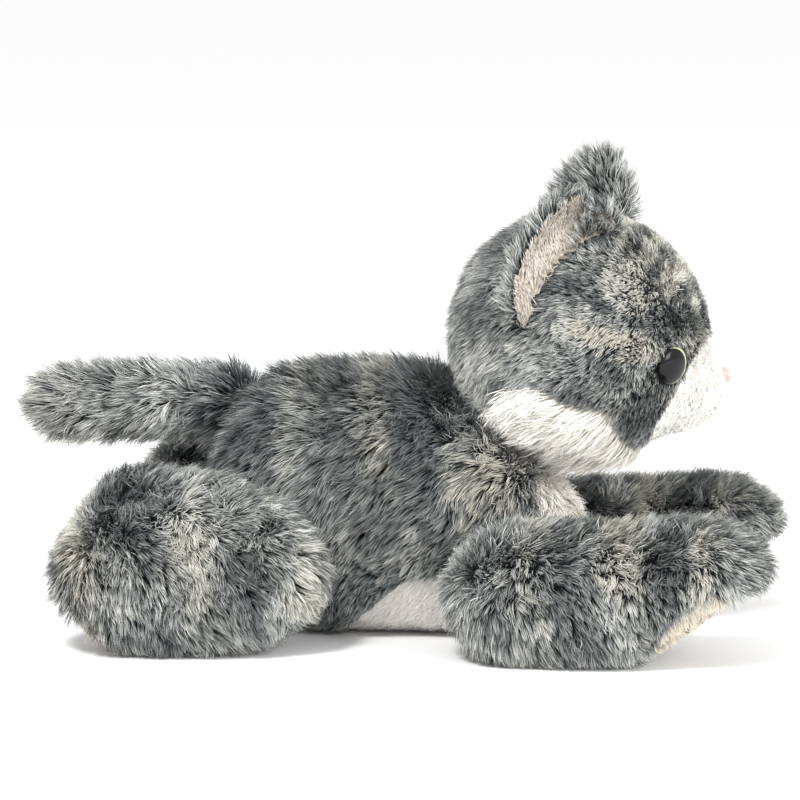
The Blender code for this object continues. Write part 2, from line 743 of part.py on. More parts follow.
def build_legs(materials):
    kinds = (
        ("foreleg", SHOULDER, foreleg_form, FORE_SOLE_ROWS, FORE_SOLE_SPREAD),
        ("hind_leg", HIP, hind_leg_form, HIND_SOLE_ROWS, HIND_SOLE_SPREAD),
    )
    for kind, pivot, form, sole_rows, sole_spread in kinds:
        for word, side in (("left", 1), ("right", -1)):
            place = pivot + Vector((0.0, side * LEG_INNER_FACE, 0.0))
            swing = joint_empty(f"{kind}_{word}_swing", place)
            build_leg(kind, word, side, form(side), sole_rows, sole_spread, materials, swing)


def build_tail(materials):
    sway = joint_empty("tail_sway", TAIL_ROOT)
    lift = joint_empty("tail_lift", TAIL_ROOT, sway)
    rows = rows_between(0, TAIL_ROWS, TAIL_ROWS)
    tabby = materials["tabby"]
    for word, side in (("left", 1), ("right", -1)):

        def edges(t, side=side):
            return 0.0, side * BELOW

        panel(f"tail_cover_{word}", tail_form, rows, edges, 6, tabby, lift, side * SEAM_SHIFT)
    filling("tail_stuffing", tail_fill_form, 8, 10, materials["fill"], lift)
    turned("tail_root_filling", ball_outline(), 10, TAIL_ROOT, Vector((0, 0, 1)), materials["fill"], sway)


def ball_outline():
    steps = 8
    angles = [math.pi * k / steps for k in range(steps + 1)]
    return [(ROOT_FILL_RADIUS * math.sin(a), -ROOT_FILL_RADIUS * math.cos(a)) for a in angles]


def main():
    clear_scene()
    materials = {name: make_material(name) for name in COLOURS}
    build_torso(materials)
    turn = joint_empty("neck_turn", HEAD_CENTRE)
    filling("neck_filling", neck_form, 10, 14, materials["fill"], turn, inset=0.0)
    nod = joint_empty("head_nod", HEAD_CENTRE, turn)
    build_head(materials, nod)
    build_ears(materials, nod)
    build_legs(materials)
    build_tail(materials)


main()
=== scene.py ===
"""Looks of the lying plush cat.

A stuffed skin is laid over each packed form, and pile is grown on it in locks, combed and coloured by the
panel it grows from. Sizes are in metres."""

import math
import zlib

import bpy
import numpy as np
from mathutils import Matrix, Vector
from mathutils.bvhtree import BVHTree
from mathutils.kdtree import KDTree


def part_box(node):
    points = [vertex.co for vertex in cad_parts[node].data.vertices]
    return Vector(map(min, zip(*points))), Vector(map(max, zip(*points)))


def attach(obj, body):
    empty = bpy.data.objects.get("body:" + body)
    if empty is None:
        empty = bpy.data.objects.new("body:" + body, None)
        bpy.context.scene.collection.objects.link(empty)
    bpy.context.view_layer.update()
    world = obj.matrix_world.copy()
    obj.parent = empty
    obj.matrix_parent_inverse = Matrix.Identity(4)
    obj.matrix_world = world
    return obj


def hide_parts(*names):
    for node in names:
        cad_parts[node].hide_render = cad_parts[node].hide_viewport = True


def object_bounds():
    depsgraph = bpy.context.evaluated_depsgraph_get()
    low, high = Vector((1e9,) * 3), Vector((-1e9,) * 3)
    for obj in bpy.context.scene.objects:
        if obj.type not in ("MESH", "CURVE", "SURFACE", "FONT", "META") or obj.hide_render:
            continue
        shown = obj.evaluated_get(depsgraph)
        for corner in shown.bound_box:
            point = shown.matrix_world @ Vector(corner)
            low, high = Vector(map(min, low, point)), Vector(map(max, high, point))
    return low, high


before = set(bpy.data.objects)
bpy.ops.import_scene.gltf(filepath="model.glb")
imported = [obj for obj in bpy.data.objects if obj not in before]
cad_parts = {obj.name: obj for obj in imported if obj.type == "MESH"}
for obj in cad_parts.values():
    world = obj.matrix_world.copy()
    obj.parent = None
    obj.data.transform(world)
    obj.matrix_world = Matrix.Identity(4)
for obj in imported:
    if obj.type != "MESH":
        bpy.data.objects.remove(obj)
cad_low, cad_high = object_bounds()

MM = 0.001
CM2 = 1e-4
CAST = 0.12  # rays at a form start this far from its spine, outside it
FLOOR_CLEAR = 0.4 * MM
SKIN_INSET = 0.9 * MM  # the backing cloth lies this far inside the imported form
NOSE_INSET = 0.5 * MM
STRAND_ROWS = 4
STRAND_TAPER = (0.9, 1.0, 0.75, 0.0)  # width of a strand at each row, as a share of its full width
LENGTH_SPREAD = 0.2  # how much the strands of one pile differ in length
MOST_STRANDS = 38000  # a piece of pile stays under 200,000 triangles
EYE_CLEAR = 4.7 * MM  # no pile grows this near to the middle of an eye
CONTACT_REACH = 2.6 * MM  # pile that meets another part this near is pressed short
INNER_STRIP = 9.0 * MM  # width of the inner ear's bare strip at its base
INNER_SLOPE = 0.2  # how much further forward that strip runs for each step up
EAR_VOXEL = 0.7 * MM
PUPIL = (0.88, 0.95)  # half width and height of a pupil, as shares of the eye's radius
PUPIL_SHIFT = 0.17  # the pupils sit this far back in the eyes
DOME_HEIGHT = 0.38  # as a share of the eye's radius
DOME_RINGS = 14
DOME_SEGMENTS = 56
PRESSED = 0.5  # length of pressed pile, and the share of its strands that show

# Studio and camera
FLOOR_SPAN = 30.0
KEY_LIGHT = ("key", (-0.25, -0.8, 1.0), 0.25, 12.0)  # name, place, size and power
FILL_LIGHT = ("fill", (0.9, -0.7, 0.5), 0.6, 9.0)
AIM_HEIGHT = 62 * MM
VIEW_AZIMUTH = math.radians(8)
VIEW_ELEVATION = math.radians(7)
VIEW_DISTANCE = 1.0
VIEW_WIDTH = 0.216  # width of the picture at the cat
SENSOR_WIDTH = 36.0

SIDES = (("left", 1), ("right", -1))


# ---------------------------------------------------------------- noise and vectors


def unit(vectors):
    return vectors / np.maximum(np.linalg.norm(vectors, axis=-1, keepdims=True), 1e-12)


def smooth(low, high, value):
    share = np.clip((value - low) / (high - low), 0.0, 1.0)
    return share * share * (3.0 - 2.0 * share)


def lattice(cells, seed):
    """A steady random value from -1 to 1 for each whole-number cell."""
    x, y, z = (cells[:, k].astype(np.int64) for k in range(3))
    mixed = (x * 73856093) ^ (y * 19349663) ^ (z * 83492791) ^ (seed * 2654435761)
    mixed = (mixed ^ (mixed >> 13)) * 1274126177 & 0xFFFFFFFF
    return ((mixed >> 8) & 0xFFFF) / 32767.5 - 1.0


def noise(points, size, seed):
    """Smooth random values from -1 to 1, with features of the given size."""
    cells = points / size
    base = np.floor(cells)
    share = cells - base
    share = share * share * (3.0 - 2.0 * share)
    total = np.zeros(len(points))
    for corner in np.ndindex(2, 2, 2):
        offset = np.array(corner)
        weight = np.prod(np.where(offset, share, 1.0 - share), axis=1)
        total += weight * lattice(base + offset, seed)
    return total


def random_for(name):
    """A random generator that always starts the same for one name."""
    return np.random.default_rng(zlib.crc32(name.encode()))


# ---------------------------------------------------------------- packed forms


def node_arrays(node):
    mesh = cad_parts[node].data
    co = np.empty(len(mesh.vertices) * 3)
    mesh.vertices.foreach_get("co", co)
    mesh.calc_loop_triangles()
    tris = np.empty(len(mesh.loop_triangles) * 3, dtype=np.int32)
    mesh.loop_triangles.foreach_get("vertices", tris)
    return co.reshape(-1, 3), tris.reshape(-1, 3)


class Cover:
    """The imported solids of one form: rays are cast at them, and a point asks which of them is nearest."""

    def __init__(self, nodes, backing=()):
        self.nodes = list(nodes)
        self.all_nodes = [*nodes, *backing]
        self.tree, self.owner = self.join(self.nodes)
        self.solid, _ = self.join(self.all_nodes)

    @staticmethod
    def join(nodes):
        verts, faces, owner = [], [], []
        start = 0
        for index, node in enumerate(nodes):
            co, tris = node_arrays(node)
            verts.extend(map(tuple, co))
            faces.extend(map(tuple, (tris + start).tolist()))
            owner.extend([index] * len(tris))
            start += len(co)
        return BVHTree.FromPolygons(verts, faces), owner

    def radius(self, origin, direction):
        """Distance from the origin to the outside of the form in a direction."""
        place, _, _, distance = self.solid.ray_cast(origin + direction * CAST, -direction)
        return 0.0 if place is None else CAST - distance

    def nearest(self, points):
        """The index in self.nodes of the panel nearest to each point."""
        found = [self.tree.find_nearest(Vector(point))[2] for point in points]
        return np.array([self.owner[index] for index in found])


def mended(radii):
    """Radii with the seam gaps filled in and the facets smoothed away."""
    for _ in range(3):
        wrapped = np.concatenate([radii[:, -2:], radii, radii[:, :2]], axis=1)
        stack = np.stack([wrapped[:, k : k + radii.shape[1]] for k in range(5)])
        radii = np.maximum(radii, np.median(stack, axis=0))
    for _ in range(3):
        padded = np.pad(radii, ((2, 2), (0, 0)), mode="edge")
        stack = np.stack([padded[k : k + radii.shape[0]] for k in range(5)])
        radii = np.maximum(radii, np.median(stack, axis=0))
    for _ in range(6):
        around = (np.roll(radii, 1, 1) + np.roll(radii, -1, 1)) / 2
        padded = np.pad(radii, ((1, 1), (0, 0)), mode="edge")
        along = (padded[:-2] + padded[2:]) / 2
        radii = radii * 0.4 + around * 0.3 + along * 0.3
        radii[0] = radii[0].mean()
        radii[-1] = radii[-1].mean()
    return radii


def grid_mesh(name, points):
    """A closed mesh from rows of points that each go round, with the first and last row a single point."""
    rows, columns = points.shape[:2]
    verts = [tuple(points[0, 0])]
    for row in range(1, rows - 1):
        verts.extend(map(tuple, points[row]))
    verts.append(tuple(points[-1, 0]))
    faces = []
    last = len(verts) - 1
    for k in range(columns):
        after = (k + 1) % columns
        faces.append((0, 1 + k, 1 + after))
        for row in range(rows - 3):
            a = 1 + row * columns
            b = a + columns
            faces.append((a + k, b + k, b + after, a + after))
        tail = 1 + (rows - 3) * columns
        faces.append((tail + k, last, tail + after))
    mesh = bpy.data.meshes.new(name)
    mesh.from_pydata(verts, [], faces)
    mesh.update()
    item = bpy.data.objects.new(name, mesh)
    bpy.context.scene.collection.objects.link(item)
    mesh.shade_smooth()
    return item


def loft(name, cover, back, front, rows=72, columns=64, inset=SKIN_INSET):
    """A smooth skin over a form, from rays cast at it all round its spine and both of the spine's ends."""
    back, front = Vector(back), Vector(front)
    axis = (front - back).normalized() if (front - back).length > 1e-6 else Vector((1, 0, 0))
    side = Vector((0, 1, 0))
    up = axis.cross(side)
    up = up if up.z > 0 else -up
    cap = rows // 3 if (front - back).length > 1e-6 else rows // 2
    origins = np.zeros((rows, columns, 3))
    directions = np.zeros((rows, columns, 3))
    radii = np.zeros((rows, columns))
    for row in range(rows):
        if row <= cap:
            origin, polar = back, math.pi / 2 * row / cap
        elif row >= rows - 1 - cap:
            origin, polar = front, math.pi / 2 * (1 + (row - (rows - 1 - cap)) / cap)
        else:
            share = (row - cap) / (rows - 1 - 2 * cap)
            origin, polar = back.lerp(front, share), math.pi / 2
        for column in range(columns):
            angle = 2 * math.pi * column / columns
            around = up * math.cos(angle) + side * math.sin(angle)
            direction = around * math.sin(polar) - axis * math.cos(polar)
            origins[row, column] = origin
            directions[row, column] = direction
            radii[row, column] = cover.radius(origin, direction)
    radii = mended(radii) - inset
    points = origins + directions * radii[..., None]
    points[..., 2] = np.maximum(points[..., 2], FLOOR_CLEAR)
    return grid_mesh(name, points)


# ---------------------------------------------------------------- materials


class Nodes:
    """A short way to add and join shader nodes."""

    def __init__(self, name):
        self.material = bpy.data.materials.new(name)
        self.material.use_nodes = True
        self.tree = self.material.node_tree
        self.shader = self.tree.nodes["Principled BSDF"]

    def add(self, kind, **settings):
        node = self.tree.nodes.new(kind)
        for key, value in settings.items():
            setattr(node, key, value)
        return node

    def put(self, socket, value):
        if isinstance(value, bpy.types.NodeSocket):
            self.tree.links.new(value, socket)
        else:
            socket.default_value = value

    def attribute(self, name):
        return self.add("ShaderNodeAttribute", attribute_name=name)

    def math(self, operation, first, second=0.0, clamp=False):
        node = self.add("ShaderNodeMath", operation=operation, use_clamp=clamp)
        self.put(node.inputs[0], first)
        self.put(node.inputs[1], second)
        return node.outputs[0]

    def noise(self, vector, scale, detail=2.0):
        node = self.add("ShaderNodeTexNoise")
        self.put(node.inputs["Vector"], vector)
        node.inputs["Scale"].default_value = scale
        node.inputs["Detail"].default_value = detail
        return node.outputs["Fac"]

    def ramp(self, value, stops):
        node = self.add("ShaderNodeValToRGB")
        self.put(node.inputs[0], value)
        line = node.color_ramp
        while len(line.elements) < len(stops):
            line.elements.new(0.5)
        for element, (place, colour) in zip(line.elements, stops):
            element.position = place
            element.color = (*colour, 1.0)
        return node.outputs[0]

    def mix(self, share, first, second, blend="MIX"):
        node = self.add("ShaderNodeMix", data_type="RGBA", blend_type=blend)
        self.put(node.inputs[0], share)
        self.put(node.inputs[6], first if isinstance(first, bpy.types.NodeSocket) else (*first, 1.0))
        self.put(node.inputs[7], second if isinstance(second, bpy.types.NodeSocket) else (*second, 1.0))
        return node.outputs[2]

    def set(self, **values):
        names = {
            "roughness": "Roughness",
            "specular": "Specular IOR Level",
            "sheen": "Sheen Weight",
            "sheen_roughness": "Sheen Roughness",
            "coat": "Coat Weight",
            "coat_roughness": "Coat Roughness",
            "ior": "IOR",
        }
        for key, value in values.items():
            self.shader.inputs[names[key]].default_value = value


def tabby_material():
    """Frosted pile: charcoal roots with silvery or taupe tips, and more charcoal in the dark markings."""
    m = Nodes("tabby_pile")
    along = m.attribute("along").outputs["Fac"]
    light = m.attribute("light").outputs["Fac"]
    warm = m.attribute("warm").outputs["Fac"]
    reach = m.math("ADD", m.math("MULTIPLY", along, 0.62), m.math("MULTIPLY", light, 0.75))
    frost = m.ramp(
        reach,
        [
            (0.16, (0.014, 0.019, 0.022)),
            (0.36, (0.048, 0.060, 0.064)),
            (0.58, (0.175, 0.190, 0.186)),
            (0.80, (0.430, 0.445, 0.425)),
            (1.0, (0.640, 0.640, 0.600)),
        ],
    )
    tint = m.mix(1.0, frost, (1.0, 0.95, 0.88), "MULTIPLY")
    m.put(m.shader.inputs["Base Color"], m.mix(warm, frost, tint))
    m.set(roughness=0.55, specular=0.4, sheen=0.15, sheen_roughness=0.4)
    return m.material


def plain_pile_material(name, root, tip, speck):
    """Pile of one colour, shaded from root to tip and a little different from strand to strand."""
    m = Nodes(name)
    along = m.attribute("along").outputs["Fac"]
    light = m.attribute("light").outputs["Fac"]
    body = m.ramp(along, [(0.0, root), (0.75, tip)])
    dark = m.mix(1.0, body, speck, "MULTIPLY")
    m.put(m.shader.inputs["Base Color"], m.mix(light, dark, body))
    m.set(roughness=0.68, specular=0.25, sheen=0.25, sheen_roughness=0.35)
    return m.material


def backing_material(name, colour, deep):
    """The knitted backing cloth under the pile."""
    m = Nodes(name)
    coordinates = m.add("ShaderNodeTexCoord").outputs["Object"]
    blotch = m.noise(coordinates, 300.0, 3.0)
    m.put(m.shader.inputs["Base Color"], m.ramp(blotch, [(0.3, deep), (0.7, colour)]))
    bump = m.add("ShaderNodeBump")
    bump.inputs["Distance"].default_value = 0.0003
    bump.inputs["Strength"].default_value = 0.6
    m.put(bump.inputs["Height"], m.noise(coordinates, 1800.0, 1.0))
    m.put(m.shader.inputs["Normal"], bump.outputs[0])
    m.set(roughness=0.95, specular=0.1)
    return m.material


PLAIN_PILES = {  # root, tip and speckle colours
    "cheek": ((0.86, 0.83, 0.77), (0.97, 0.95, 0.91), (0.95, 0.94, 0.91)),
    "bib": ((0.84, 0.81, 0.75), (0.97, 0.95, 0.91), (0.95, 0.94, 0.91)),
    "belly": ((0.86, 0.83, 0.78), (0.97, 0.95, 0.92), (0.96, 0.95, 0.93)),
    "muzzle": ((0.92, 0.89, 0.84), (0.98, 0.965, 0.935), (0.98, 0.975, 0.96)),
    "sole": ((0.50, 0.45, 0.36), (0.82, 0.77, 0.67), (0.84, 0.80, 0.74)),
    "inner_ear": ((0.34, 0.31, 0.27), (0.68, 0.63, 0.56), (0.80, 0.78, 0.74)),
    "nose": ((0.82, 0.50, 0.44), (0.92, 0.65, 0.59), (0.95, 0.92, 0.90)),
}
BACKINGS = {  # colour of the cloth, and of its darker specks
    "dark_backing": ((0.035, 0.042, 0.045), (0.012, 0.016, 0.018)),
    "white_backing": ((0.90, 0.87, 0.82), (0.84, 0.81, 0.75)),
    "tan_backing": ((0.42, 0.38, 0.31), (0.30, 0.26, 0.21)),
    "nose_backing": ((0.84, 0.54, 0.48), (0.78, 0.46, 0.40)),
}


def make_materials():
    made = {"tabby": tabby_material()}
    for name, colours in PLAIN_PILES.items():
        made[name] = plain_pile_material(f"{name}_pile", *colours)
    for name, colours in BACKINGS.items():
        made[name] = backing_material(name, *colours)
    return made


# ---------------------------------------------------------------- pile


class Pile:
    """One kind of pile. Length and width are given in millimetres."""

    def __init__(self, look, slot, backing, density, length, width, lean, bend, locks, pull, tousle=0.3):
        self.look = look
        self.slot = slot
        self.backing = backing
        self.density = density  # strands per square centimetre
        self.length = length * MM
        self.width = width * MM
        self.lean = lean  # degrees from upright at the root
        self.bend = bend  # degrees more at the tip
        self.locks = locks  # locks per square centimetre
        self.pull = pull  # how far tips are drawn into their lock
        self.tousle = tousle  # how far the lie wanders from the comb


PILES = {
    "tabby": Pile("tabby", "tabby_pile", "dark_backing", 560, 6.5, 0.26, 22, 34, 42, 0.72, tousle=0.7),
    "face": Pile("tabby", "tabby_pile", "dark_backing", 900, 3.6, 0.19, 28, 34, 95, 0.65, tousle=0.6),
    "cheek": Pile("cheek", "white_pile", "white_backing", 480, 8.5, 0.26, 52, 30, 18, 0.7),
    "bib": Pile("bib", "white_pile", "white_backing", 420, 6.0, 0.26, 55, 25, 18, 0.6),
    "belly": Pile("belly", "white_pile", "white_backing", 520, 2.4, 0.24, 60, 20, 40, 0.4),
    "muzzle": Pile("muzzle", "muzzle_pile", "white_backing", 1100, 1.4, 0.22, 62, 16, 80, 0.2),
    "sole": Pile("sole", "sole_pile", "tan_backing", 560, 3.0, 0.24, 56, 20, 40, 0.5, tousle=0.4),
    "inner_ear": Pile("inner_ear", "taupe_pile", "tan_backing", 700, 2.2, 0.22, 56, 20, 60, 0.5, tousle=0.4),
    "nose": Pile("nose", "nose_pile", "nose_backing", 1800, 0.7, 0.16, 60, 15, 300, 0.1, tousle=0.4),
}


def sample_roots(skin, density, rng):
    """Random roots spread evenly over a skin, with the smooth normal at each."""
    mesh = skin.data
    mesh.calc_loop_triangles()
    count = len(mesh.loop_triangles)
    tris = np.empty(count * 3, dtype=np.int32)
    mesh.loop_triangles.foreach_get("vertices", tris)
    tris = tris.reshape(-1, 3)
    co = np.empty(len(mesh.vertices) * 3)
    mesh.vertices.foreach_get("co", co)
    co = co.reshape(-1, 3)
    normals = np.empty(len(mesh.vertices) * 3, dtype=np.float32)
    mesh.vertex_normals.foreach_get("vector", normals)
    normals = normals.reshape(-1, 3)
    a, b, c = (co[tris[:, k]] for k in range(3))
    areas = np.linalg.norm(np.cross(b - a, c - a), axis=1) / 2
    total = int(areas.sum() / CM2 * density)
    chosen = rng.choice(count, size=total, p=areas / areas.sum())
    u = np.sqrt(rng.random(total))[:, None]
    v = rng.random(total)[:, None]
    weights = (1.0 - u, u * (1.0 - v), u * v)
    corners = tris[chosen]
    roots = sum(w * co[corners[:, k]] for k, w in enumerate(weights))
    upright = sum(w * normals[corners[:, k]] for k, w in enumerate(weights))
    return roots, unit(upright)


def nearest_lock(roots, leads):
    tree = KDTree(len(leads))
    for index, place in enumerate(roots[leads]):
        tree.insert(place, index)
    tree.balance()
    return np.array([leads[tree.find(place)[1]] for place in roots])


def lay_strands(roots, normals, comb, length, pile, area, rng):
    """The rows of points that the strands run through: combed over, then drawn together into locks."""
    count = len(roots)
    tousle = np.stack([noise(roots, 5 * MM, seed) for seed in (11, 12, 13)], axis=1)
    stray = rng.normal(0.0, 0.25, (count, 3))
    lie = comb + pile.tousle * tousle + stray
    lie -= normals * np.sum(lie * normals, axis=1, keepdims=True)
    lie = unit(lie)
    lean = np.radians(pile.lean) + rng.normal(0.0, 0.14, count) + 0.25 * noise(roots, 3 * MM, 21)
    rows = [roots]
    for k in range(1, STRAND_ROWS):
        angle = lean + math.radians(pile.bend) * (k - 1) / (STRAND_ROWS - 2)
        step = normals * np.cos(angle)[:, None] + lie * np.sin(angle)[:, None]
        rows.append(rows[-1] + step * (length / (STRAND_ROWS - 1))[:, None])
    leads = rng.choice(count, size=max(int(area / CM2 * pile.locks), 4), replace=False)
    lead = nearest_lock(roots, leads)
    strength = pile.pull * rng.uniform(0.45, 1.0, count)[:, None]
    joined = [roots]
    for k in range(1, STRAND_ROWS):
        share = strength * (k / (STRAND_ROWS - 1)) ** 1.3
        joined.append(rows[k] + (rows[k][lead] - rows[k]) * share)
    points = np.stack(joined, axis=1)
    points[..., 2] = np.maximum(points[..., 2], FLOOR_CLEAR)
    return points, lead


def strand_mesh(name, points, normals, width, values, rng):
    """Tapered ribbons along the strands, with a small map of its own for each."""
    count = len(points)
    tangent = np.empty_like(points)
    tangent[:, :-1] = points[:, 1:] - points[:, :-1]
    tangent[:, -1] = tangent[:, -2]
    tangent = unit(tangent)
    side = unit(np.cross(tangent, normals[:, None, :]))
    over = np.cross(tangent, side)
    twist = rng.normal(0.0, 0.45, count)[:, None, None]
    side = side * np.cos(twist) + over * np.sin(twist)
    taper = np.array(STRAND_TAPER)[None, :, None]
    half = side * taper * (width / 2)[:, None, None]
    pairs = np.stack([points - half, points + half], axis=2).reshape(count, STRAND_ROWS * 2, 3)
    verts = pairs[:, :-1]
    per = STRAND_ROWS * 2 - 1
    quads = [(0, 1, 3, 2), (2, 3, 5, 4)]
    loops = np.array([*quads[0], *quads[1], 4, 5, 6], dtype=np.int32)
    starts = np.array([0, 4, 8], dtype=np.int32)
    mesh = bpy.data.meshes.new(name)
    mesh.vertices.add(count * per)
    mesh.vertices.foreach_set("co", verts.astype(np.float32).ravel())
    mesh.loops.add(count * len(loops))
    indices = (np.arange(count, dtype=np.int32)[:, None] * per + loops).ravel()
    mesh.loops.foreach_set("vertex_index", indices)
    mesh.polygons.add(count * len(starts))
    begin = (np.arange(count, dtype=np.int32)[:, None] * len(loops) + starts).ravel()
    mesh.polygons.foreach_set("loop_start", begin)
    mesh.update(calc_edges=True)
    add_strand_map(mesh, count, loops)
    shares = np.array([0.0, 0.0, 1 / 3, 1 / 3, 2 / 3, 2 / 3, 1.0])
    add_values(mesh, "along", np.tile(shares, count))
    for key, value in values.items():
        add_values(mesh, key, np.repeat(value, per))
    mesh.shade_smooth()
    item = bpy.data.objects.new(name, mesh)
    bpy.context.scene.collection.objects.link(item)
    return item


def add_values(mesh, name, values):
    layer = mesh.attributes.new(name, "FLOAT", "POINT")
    layer.data.foreach_set("value", values.astype(np.float32))


def add_strand_map(mesh, count, loops):
    """A texture map with one upright cell for each strand, so that its colours can be baked."""
    columns = max(int(math.ceil(math.sqrt(count * 3.0))), 1)
    rows = max(int(math.ceil(count / columns)), 1)
    cell = np.arange(count)
    corner = np.stack([(cell % columns) / columns, (cell // columns) / rows], axis=1)
    across = np.array([0.1, 0.9, 0.1, 0.9, 0.1, 0.9, 0.5])
    along = np.array([0.05, 0.05, 0.35, 0.35, 0.65, 0.65, 0.95])
    inside = np.stack([across[loops] / columns, along[loops] / rows], axis=1)
    layer = mesh.uv_layers.new(name="OFBake")
    uv = corner[:, None, :] + inside[None, :, :]
    layer.uv.foreach_set("vector", uv.astype(np.float32).ravel())


# ---------------------------------------------------------------- coat


class Mark:
    """A soft-edged patch of the coat, seen from the side, with its middle and half sizes in millimetres."""

    def __init__(self, middle, half, slope, light, warm=0.0):
        self.x, self.z = middle
        self.half = half
        self.slope = math.radians(slope)
        self.light = light  # how much lighter it is than the coat round it, or darker if negative
        self.warm = warm  # how much more taupe it is

    def share(self, roots):
        """How much each root is in the mark, with an edge broken up by the pile."""
        ragged = min(self.half) * 0.6
        x = roots[:, 0] / MM - self.x + ragged * noise(roots, 3 * MM, 51)
        z = roots[:, 2] / MM - self.z + ragged * noise(roots, 3 * MM, 52)
        along = (x * math.cos(self.slope) + z * math.sin(self.slope)) / self.half[0]
        across = (z * math.cos(self.slope) - x * math.sin(self.slope)) / self.half[1]
        return 1.0 - smooth(0.55, 1.35, np.hypot(along, across))


MARKS = {
    "head": (
        Mark((50, 96), (4, 1.6), -30, -0.34),  # broken band from the ear to the eye
        Mark((58, 92), (4, 2.0), -20, -0.34),
        Mark((70, 87), (7.5, 3.0), -22, -0.46),
        Mark((61, 83), (14, 3.8), -18, 0.36, 1.0),  # plain taupe band under it
        Mark((58, 104), (2.2, 6.5), -14, -0.52),  # dashes over the crown
        Mark((65, 107), (2.0, 6.5), -22, -0.54),
        Mark((71, 101), (2.0, 6.5), -32, -0.54),
        Mark((77, 94), (2.0, 5.5), -42, -0.50),
        Mark((82, 89), (1.8, 3.0), -45, -0.26),
        Mark((68, 102), (18, 14), -35, 0.50, 0.4),  # light forehead between them
        Mark((80, 81), (4.0, 3.0), 0, 0.30, 0.7),
        Mark((76, 78), (1.6, 2.6), 20, -0.40),
        Mark((62, 77), (6.5, 3.2), -15, -0.26),
        Mark((67, 63), (5, 5), 0, -0.26),
        Mark((73, 57), (4.5, 4.5), 0, -0.26),
        Mark((50, 68), (4, 2.5), -20, -0.24),
        Mark((36, 79), (8, 5), 0, 0.14),
        Mark((28, 88), (4, 5), 0, -0.22),
        Mark((31, 104), (4, 4), 0, -0.20),
    ),
    "torso": (
        Mark((9, 57), (4.5, 17), 12, -0.30),  # tabby bands, from the shoulder to the rump
        Mark((-2, 60), (4.5, 15), 8, 0.20, 0.7),
        Mark((-13, 57), (5.0, 15), 4, -0.24),
        Mark((-23, 58), (3.5, 14), 0, 0.18, 0.5),
        Mark((-33, 57), (5.0, 15), -4, -0.26),
        Mark((28, 46), (11, 10), 0, 0.50, 0.9),
        Mark((-44, 60), (4, 9), 0, -0.25),
    ),
    "foreleg": (
        Mark((48, 20), (4.0, 18), 5, -0.26),
        Mark((38, 28), (5.0, 8), 0, 0.12, 0.4),
        Mark((63, 28), (6.0, 9), 0, 0.28, 0.8),
        Mark((75, 26), (5.0, 12), -8, -0.34),
        Mark((84, 27), (3.0, 10), -8, 0.26, 0.5),
        Mark((93, 37), (9.0, 4), -15, -0.30),
    ),
    "hind_leg": (
        Mark((-76, 26), (5, 12), 0, 0.26, 0.7),
        Mark((-63, 36), (5, 10), 10, -0.26),
        Mark((-48, 28), (5, 15), 5, 0.20, 0.4),
        Mark((-34, 25), (4.5, 13), 0, -0.22),
        Mark((-20, 22), (5, 10), 0, 0.20, 0.5),
        Mark((-62, 8), (12, 4), 0, -0.16),
    ),
    "tail": (
        Mark((-46, 61), (4.5, 10), 0, -0.36),
        Mark((-92, 60), (8, 8), 0, 0.12, 0.5),
        Mark((-74, 60), (4, 9), 0, -0.12),
        Mark((-62, 60), (5, 9), 0, 0.10),
    ),
}
# How light the unmarked coat of each part is, from charcoal (0) to silver (1)
PLAIN_LIGHT = {"torso": 0.11, "head": 0.26, "foreleg": 0.33, "hind_leg": 0.29, "tail": 0.35, "": 0.36}


def coat(roots, part, lead, rng):
    """How light and how warm each strand of the tabby coat is, from mottling, the marks and the locks."""
    light = PLAIN_LIGHT[part] + 0.14 * noise(roots, 11 * MM, 31) + 0.24 * noise(roots, 4.5 * MM, 32)
    light += 0.24 * noise(roots[lead], 0.7 * MM, 33) + rng.normal(0.0, 0.14, len(roots))
    warm = 0.35 * smooth(-0.1, 0.7, noise(roots, 14 * MM, 34))
    for mark in MARKS.get(part, ()):
        share = mark.share(roots)
        light += mark.light * share
        warm += mark.warm * share
    return {"light": np.clip(light, 0.0, 1.0), "warm": np.clip(warm, 0.0, 1.0)}


def pile_stretch(part, roots):
    """How much longer than usual the pile is.

    The head's is long at the nape and short round the face, the torso's is short beside the belly, and the
    forelegs' is short beside the soles."""
    x, z = roots[:, 0], roots[:, 2]
    if part == "head":
        return 1.35 - 0.65 * smooth(25 * MM, 75 * MM, x)
    if part == "torso":
        return 0.5 + 0.5 * smooth(14 * MM, 36 * MM, z)
    if part == "foreleg":
        return 1.0 - 0.5 * smooth(55 * MM, 80 * MM, x) * (1.0 - smooth(8 * MM, 30 * MM, z))
    return np.ones(len(roots))


def pressed(roots, normals, own_nodes):
    """Which roots meet another part of the cat just outside them."""
    others = [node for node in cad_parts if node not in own_nodes]
    tree, _ = Cover.join(others)
    hits = []
    for root, normal in zip(roots, normals):
        start = Vector(root) + Vector(normal) * SKIN_INSET
        hits.append(tree.ray_cast(start, Vector(normal), CONTACT_REACH)[0] is not None)
    return np.array(hits, dtype=bool)


